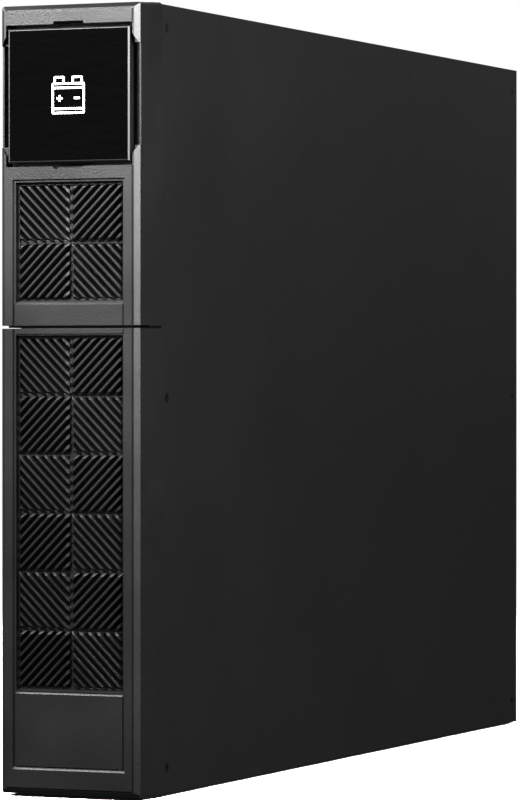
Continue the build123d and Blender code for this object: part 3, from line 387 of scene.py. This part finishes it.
class CABINET_OT_plate(bpy.types.Operator):
    """Finish the square pull-out plate with its window and printed symbol"""
    bl_idname = "cabinet.plate"
    bl_label = "Pull-out plate"

    def execute(self, context):
        dress("plate_carrier", abs_carrier(), 0.1, 1)
        dress("plate_window", polished_window(), 0.08)
        dress("battery_symbol", screen_print_painted_glow())
        dress("plate_stem", abs_carrier(), 0.2)
        return {"FINISHED"}


class CABINET_OT_case(bpy.types.Operator):
    """Finish the steel case, its panels and fasteners"""
    bl_idname = "cabinet.case"
    bl_label = "Steel case"

    def execute(self, context):
        coat = powder_coat()
        for node, edge in (("case_cover", 0.35), ("case_pan", 0.35), ("front_panel", 0.15),
                           ("rear_panel", 0.15), ("port_plate", 0.15),
                           ("battery_doors", 0.15)):
            dress(node, coat, edge)
        black_zinc = plated("black_zinc", "#1B1B1D", "#3A3A3D", 0.34)
        for node in ("cover_screws", "rear_panel_screws"):
            dress(node, black_zinc, 0.08, 1)
        bright_zinc = plated("bright_zinc", "#9DA0A3", "#C4C6C8", 0.3)
        for node in ("rack_ear_nuts", "door_screws", "stem_collar", "upper_bezel_studs", "lower_bezel_studs",
                     "earth_stud", "earth_nut"):
            dress(node, bright_zinc, 0.12, 1)
        spangled = plated("spangled_zinc_sheet", "#7E8184", "#B9BBBD", 0.38, 6.0)
        for node in ("middle_divider", "bay_rails", "lower_battery_tray", "upper_battery_tray"):
            dress(node, spangled, 0.12, 1)
        return {"FINISHED"}


class CABINET_OT_inside(bpy.types.Operator):
    """Finish the batteries, leads, boards and small parts inside"""
    bl_idname = "cabinet.inside"
    bl_label = "Inside"

    def execute(self, context):
        nylon = moulded("natural_nylon", "#BDBBB0", "#C8C6BC", 0.45, 0.9, 0.01, 1.53, shade=0.03)
        block = moulded("battery_case_abs", "#2B2C2E", "#333436", 0.5, 1.2, 0.03)
        lid = moulded("battery_lid_abs", "#35363A", "#3E3F43", 0.45, 1.0, 0.02)
        red = moulded("red_pvc", "#A3110B", "#B5170F", 0.4, 2.0, 0.01, shade=0.05)
        black = moulded("black_pvc", "#0C0C0D", "#121213", 0.4, 2.0, 0.01)
        foam = moulded("closed_cell_foam", "#101011", "#1A1A1B", 0.9, 1.5, 0.25, 1.4, shade=0.3)
        brass = plated("tinned_brass", "#A79F86", "#CFC9B4", 0.3)
        ceramic = moulded("glazed_ceramic", "#D9D6CC", "#E2DFD6", 0.2, 4.0, 0.01, 1.5, coat=0.5, shade=0.02)
        board = circuit_board()
        webbing = woven_webbing()
        for names, material in (
                (("bezel_grommets", "board_spacers"), nylon),
                (("lower_battery_cases", "upper_battery_cases"), block),
                (("lower_battery_lids", "upper_battery_lids"), lid),
                (("lower_battery_links", "upper_battery_links", "positive_leads"), red),
                (("negative_leads", "board_parts"), black), (("foam_pads",), foam),
                (("lower_battery_tabs", "upper_battery_tabs", "fuse_clips"), brass),
                (("string_fuse",), ceramic), (("bus_board", "port_board"), board),
                (("lower_pull_strap", "upper_pull_strap"), webbing)):
            for node in names:
                dress(node, material)
        return {"FINISHED"}


class CABINET_OT_rear(bpy.types.Operator):
    """Finish the rear connectors, switch and port, and add their raised marks"""
    bl_idname = "cabinet.rear"
    bl_label = "Rear"

    def execute(self, context):
        grey = moulded("grey_polycarbonate", "#3C3D40", "#434447", 0.42, 0.8, 0.012, 1.58)
        thermoset = moulded("grey_thermoset", "#6D6E70", "#77787A", 0.5, 0.8, 0.015)
        glossy = moulded("black_lever_resin", "#0A0A0B", "#0E0E0F", 0.25, 1.5, 0.004)
        brass = material_once("tinned_brass", lambda: plated("tinned_brass", "#A79F86", "#CFC9B4", 0.3))
        for node in ("dc_connector_shells", "battery_plugs", "battery_sockets"):
            dress(node, grey, 0.4)
        dress("switch_body", thermoset, 0.3)
        dress("switch_frame", abs_grille(), 0.3)
        dress("switch_lever", glossy, 0.3)
        dress("detection_port", abs_grille(), 0.12)
        for node in ("dc_connector_contacts", "port_contacts"):
            dress(node, brass, 0.05, 1)
        rear_marks(material_once("white_ink_painted_glow", screen_print_painted_glow))
        rating_label()
        return {"FINISHED"}


def node_box(node):
    """Lowest and highest corner of a CAD node in the frame's axes."""
    piece = NODES[node]
    corners = [piece.matrix_world @ Vector(corner) for corner in piece.bound_box]
    return [(min(c[i] for c in corners), max(c[i] for c in corners)) for i in range(3)]


def rear_marks(ink):
    """Printed signs: on and off at the switch, poles at the connectors, earth at the stud."""
    depth = node_box("rear_panel")[1][1] + PRINT_THICK / 2
    bm = bmesh.new()
    (x0, x1), _, (z0, z1) = node_box("switch_frame")
    middle = (x0 + x1) / 2
    radius = SIGN_SIZE / 2
    add_bar(bm, (middle, depth, z1 + SIGN_SIZE), SIGN_LINE, SIGN_SIZE, PRINT_THICK)
    add_ring(bm, (middle, depth, z0 - SIGN_SIZE), radius, radius - SIGN_LINE, PRINT_THICK)
    (x0, x1), _, (z0, z1) = node_box("dc_connector_shells")
    side = x1 + SIGN_SIZE
    for low in (z0, z1 - SIGN_BLOCK):
        for share, upright in ((PLUS_SHARE, True), (MINUS_SHARE, False)):
            place = (side, depth, low + share * SIGN_BLOCK)
            add_bar(bm, place, POLE_SIGN, SIGN_LINE, PRINT_THICK)
            if upright:
                add_bar(bm, place, SIGN_LINE, POLE_SIGN, PRINT_THICK)
    (x0, x1), _, (z0, z1) = node_box("earth_stud")
    middle = (x0 + x1) / 2
    for step, share in enumerate(EARTH_SHARES):
        place = (middle, depth, z1 + EARTH_GAP + EARTH_PITCH * step)
        add_bar(bm, place, SIGN_SIZE * share, SIGN_LINE, PRINT_THICK)
    add_bar(bm, (middle, depth, z1 + EARTH_LEG_RISE), SIGN_LINE, EARTH_LEG, PRINT_THICK)
    mesh_piece("rear_signs", bm, ink, "case")


def rating_label():
    """Blank silver polyester label between the vents and the connectors."""
    material, tree = new_material("silver_polyester_foil")
    place = add(tree, "ShaderNodeTexCoord").outputs["Object"]
    streak = add(tree, "ShaderNodeMapping", {"Scale": (1.0, 1.0, 14.0)}, Vector=place)
    brushed = add(tree, "ShaderNodeTexNoise", {"Scale": 1 / (6 * MM), "Detail": 4.0},
                  Vector=streak.outputs["Vector"])
    tint = ramp(tree, brushed.outputs["Fac"], [(0.35, srgb("#8F9194")), (0.65, srgb("#A6A8AB"))])
    shader = add(tree, "ShaderNodeBsdfPrincipled", {"Metallic": 0.7, "Roughness": 0.4},
                 Base_Color=tint.outputs["Color"])
    close_material(tree, shader)
    bm = bmesh.new()
    low, high = node_box("earth_stud")[2]
    depth = node_box("rear_panel")[1][1] + PRINT_THICK / 2
    add_bar(bm, (LABEL_ASIDE, depth, (low + high) / 2 - LABEL_DROP), LABEL_WIDTH, LABEL_HEIGHT, PRINT_THICK)
    mesh_piece("rating_label", bm, material, "case")


class CABINET_OT_stage(bpy.types.Operator):
    """Add the floor, the soft lights and the camera"""
    bl_idname = "cabinet.stage"
    bl_label = "Stage"

    def execute(self, context):
        settings = context.scene.cabinet_stage
        low, high = CAD_BOX
        floor = make_floor(settings.floor_colour, low[2])
        make_world(context.scene, settings.surround)
        make_lights(low)
        make_floor_light(floor)
        make_camera(context.scene, settings, low, high)
        context.scene.view_settings.view_transform = "Standard"
        return {"FINISHED"}


def make_floor(colour, height):
    """A pale painted floor, seen by the camera only so that it throws no light up on the cabinet."""
    material, tree = new_material("painted_studio_floor")
    place = add(tree, "ShaderNodeTexCoord").outputs["Object"]
    cloud = add(tree, "ShaderNodeTexNoise", {"Scale": 1.2, "Detail": 2.0}, Vector=place)
    pale = srgb(colour)
    dim = tuple(0.97 * value for value in pale[:3]) + (1.0,)
    tint = ramp(tree, cloud.outputs["Fac"], [(0.3, dim), (0.7, pale)])
    shader = add(tree, "ShaderNodeBsdfPrincipled", {"Roughness": 0.75}, Base_Color=tint.outputs["Color"])
    close_material(tree, shader)
    bm = bmesh.new()
    bmesh.ops.create_circle(bm, cap_ends=True, segments=96, radius=14.0)
    mesh = bpy.data.meshes.new("studio_floor")
    bm.to_mesh(mesh)
    bm.free()
    mesh.materials.append(material)
    floor = bpy.data.objects.new("studio_floor", mesh)
    floor.location = (0.0, 0.0, height)
    bpy.context.scene.collection.objects.link(floor)
    floor.visible_glossy = False
    floor.visible_diffuse = False
    return floor


def make_world(scene, strength):
    """A white backdrop that lights the black cabinet only dimly."""
    world = bpy.data.worlds.new("studio_surround")
    scene.world = world
    world.use_nodes = True
    tree = world.node_tree
    tree.nodes.clear()
    seen = add(tree, "ShaderNodeLightPath").outputs["Is Camera Ray"]
    backdrop = add(tree, "ShaderNodeBackground", {"Color": (1.0, 1.0, 1.0, 1.0), "Strength": 1.0})
    lighting = add(tree, "ShaderNodeBackground", {"Color": (1.0, 1.0, 1.0, 1.0), "Strength": strength})
    mix = add(tree, "ShaderNodeMixShader", i0=seen, i1=lighting.outputs[0], i2=backdrop.outputs[0])
    output = add(tree, "ShaderNodeOutputWorld")
    tree.links.new(mix.outputs[0], output.inputs["Surface"])


def soft_panel(name, azimuth, distance, height, size, power, centre, aim_height):
    """A rectangular soft light round the front of the cabinet, aimed at a height on it."""
    light = bpy.data.lights.new(name, "AREA")
    light.shape = "RECTANGLE"
    light.size, light.size_y = size
    light.energy = power
    turn = math.radians(azimuth)
    place = Vector((centre[0] + distance * math.sin(turn), centre[1] - distance * math.cos(turn), height))
    lamp = bpy.data.objects.new(name, light)
    lamp.location = place
    aim = Vector((centre[0], centre[1], aim_height)) - place
    lamp.rotation_euler = aim.to_track_quat("-Z", "Y").to_euler()
    bpy.context.scene.collection.objects.link(lamp)
    return lamp


def make_lights(low):
    """Soft panels for the front, the right side, the left edge and the rear."""
    front = (0.0, low[1])
    soft_panel("front_panel_light", -23, 0.72, 0.86, (0.5, 0.44), 48.0, front, 0.34)
    soft_panel("side_panel_light", 67, 0.75, 0.72, (0.5, 0.54), 44.0, front, 0.36)
    soft_panel("left_strip_light", -80, 0.7, 0.75, (0.25, 0.5), 14.0, front, 0.36)
    soft_panel("rear_panel_light", 195, 1.1, 0.6, (0.8, 0.8), 16.0, (0.0, -low[1]), 0.22)


def make_floor_light(floor):
    """A broad overhead lamp kept to the floor, so that it stays pale beside a black cabinet."""
    light = bpy.data.lights.new("floor_light", "SUN")
    light.energy = 3.4
    light.angle = math.radians(60)
    lamp = bpy.data.objects.new("floor_light", light)
    bpy.context.scene.collection.objects.link(lamp)
    only_floor = bpy.data.collections.new("lit_by_floor_light")
    only_floor.objects.link(floor)
    lamp.light_linking.receiver_collection = only_floor


def make_camera(scene, settings, low, high):
    """A long lens level with the middle of the front, its axis passing beside the cabinet."""
    camera_data = bpy.data.cameras.new("studio_camera")
    camera_data.lens = settings.lens
    camera_data.sensor_width = 36.0
    camera_data.clip_end = 100.0
    camera = bpy.data.objects.new("studio_camera", camera_data)
    turn, rise = settings.azimuth, settings.elevation
    back = Vector((math.sin(turn) * math.cos(rise), -math.cos(turn) * math.cos(rise), math.sin(rise)))
    aside = Vector((math.cos(turn), math.sin(turn), 0.0))
    target = Vector((0.0, low[1], (low[2] + high[2]) / 2))
    camera.location = target + back * settings.distance + aside * settings.aside
    camera.rotation_euler = (math.pi / 2 - rise, 0.0, turn)
    scene.collection.objects.link(camera)
    scene.camera = camera


class CABINET_PT_panel(bpy.types.Panel):
    """Lists the cabinet's pieces and settings"""
    bl_idname = "CABINET_PT_panel"
    bl_label = "Battery cabinet"
    bl_space_type = "VIEW_3D"
    bl_region_type = "UI"
    bl_category = "Cabinet"

    def draw(self, context):
        layout = self.layout
        for group in (context.scene.cabinet_front, context.scene.cabinet_stage):
            for name in group.bl_rna.properties.keys():
                if name not in {"rna_type", "name"}:
                    layout.prop(group, name)
        for operator in OPERATORS:
            layout.operator(operator.bl_idname)


GROUPS = (CabinetFront, CabinetStage)
OPERATORS = (CABINET_OT_stage, CABINET_OT_bezels, CABINET_OT_grilles, CABINET_OT_plate, CABINET_OT_case,
             CABINET_OT_inside, CABINET_OT_rear)


def register():
    for cls in (*GROUPS, *OPERATORS, CABINET_PT_panel):
        bpy.utils.register_class(cls)
    bpy.types.Scene.cabinet_front = PointerProperty(type=CabinetFront)
    bpy.types.Scene.cabinet_stage = PointerProperty(type=CabinetStage)


def unregister():
    del bpy.types.Scene.cabinet_stage
    del bpy.types.Scene.cabinet_front
    for cls in reversed((*GROUPS, *OPERATORS, CABINET_PT_panel)):
        bpy.utils.unregister_class(cls)


def main():
    register()
    bpy.ops.cabinet.stage()
    bpy.ops.cabinet.bezels()
    bpy.ops.cabinet.grilles()
    bpy.ops.cabinet.plate()
    bpy.ops.cabinet.case()
    bpy.ops.cabinet.inside()
    bpy.ops.cabinet.rear()
    bpy.context.view_layer.update()


if __name__ == "__main__":
    main()
